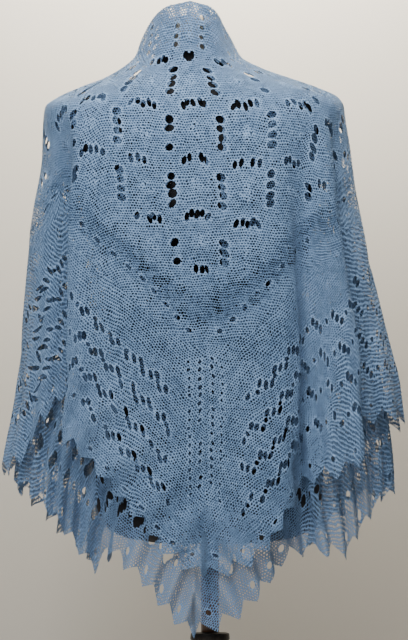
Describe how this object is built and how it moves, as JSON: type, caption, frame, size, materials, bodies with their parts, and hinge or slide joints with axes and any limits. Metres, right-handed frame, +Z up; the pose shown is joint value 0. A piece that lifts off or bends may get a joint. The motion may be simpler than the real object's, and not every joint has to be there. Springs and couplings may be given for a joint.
{
  "type": "lace shawl on a dress form",
  "caption": "Knitted lace shawl folded to a double triangle with pointed edging, worn on a limbless dress form with a round stand.",
  "frame": {"origin": "on the floor, on the axis of the pole and the base", "axes": "+Z up; the wearer's back and the shawl's long point face -Y, the wearer's front faces +Y, the wearer's right is +X"},
  "size_m": [0.5284, 0.34, 1.4408],
  "materials": {
    "yarn": "soft pale blue wool with a slight halo",
    "dark_cloth": "smooth near-black cover",
    "pale_wood": "pale satin wood",
    "brown_wood": "glossy brown varnish",
    "dark_metal": "dark satin paint"
  },
  "bodies": {
    "root": {"centre_upper": "yarn", "centre_under": "yarn", "border_upper_left": "yarn", "border_upper_right": "yarn", "border_under_left": "yarn", "border_under_right": "yarn", "edging_upper": "yarn", "edging_under": "yarn", "torso": "dark_cloth", "neck_cap": "pale_wood", "pole": "brown_wood", "collar": "dark_metal", "lower_pole": "brown_wood", "base": "dark_metal"}
  },
  "joints": []
}
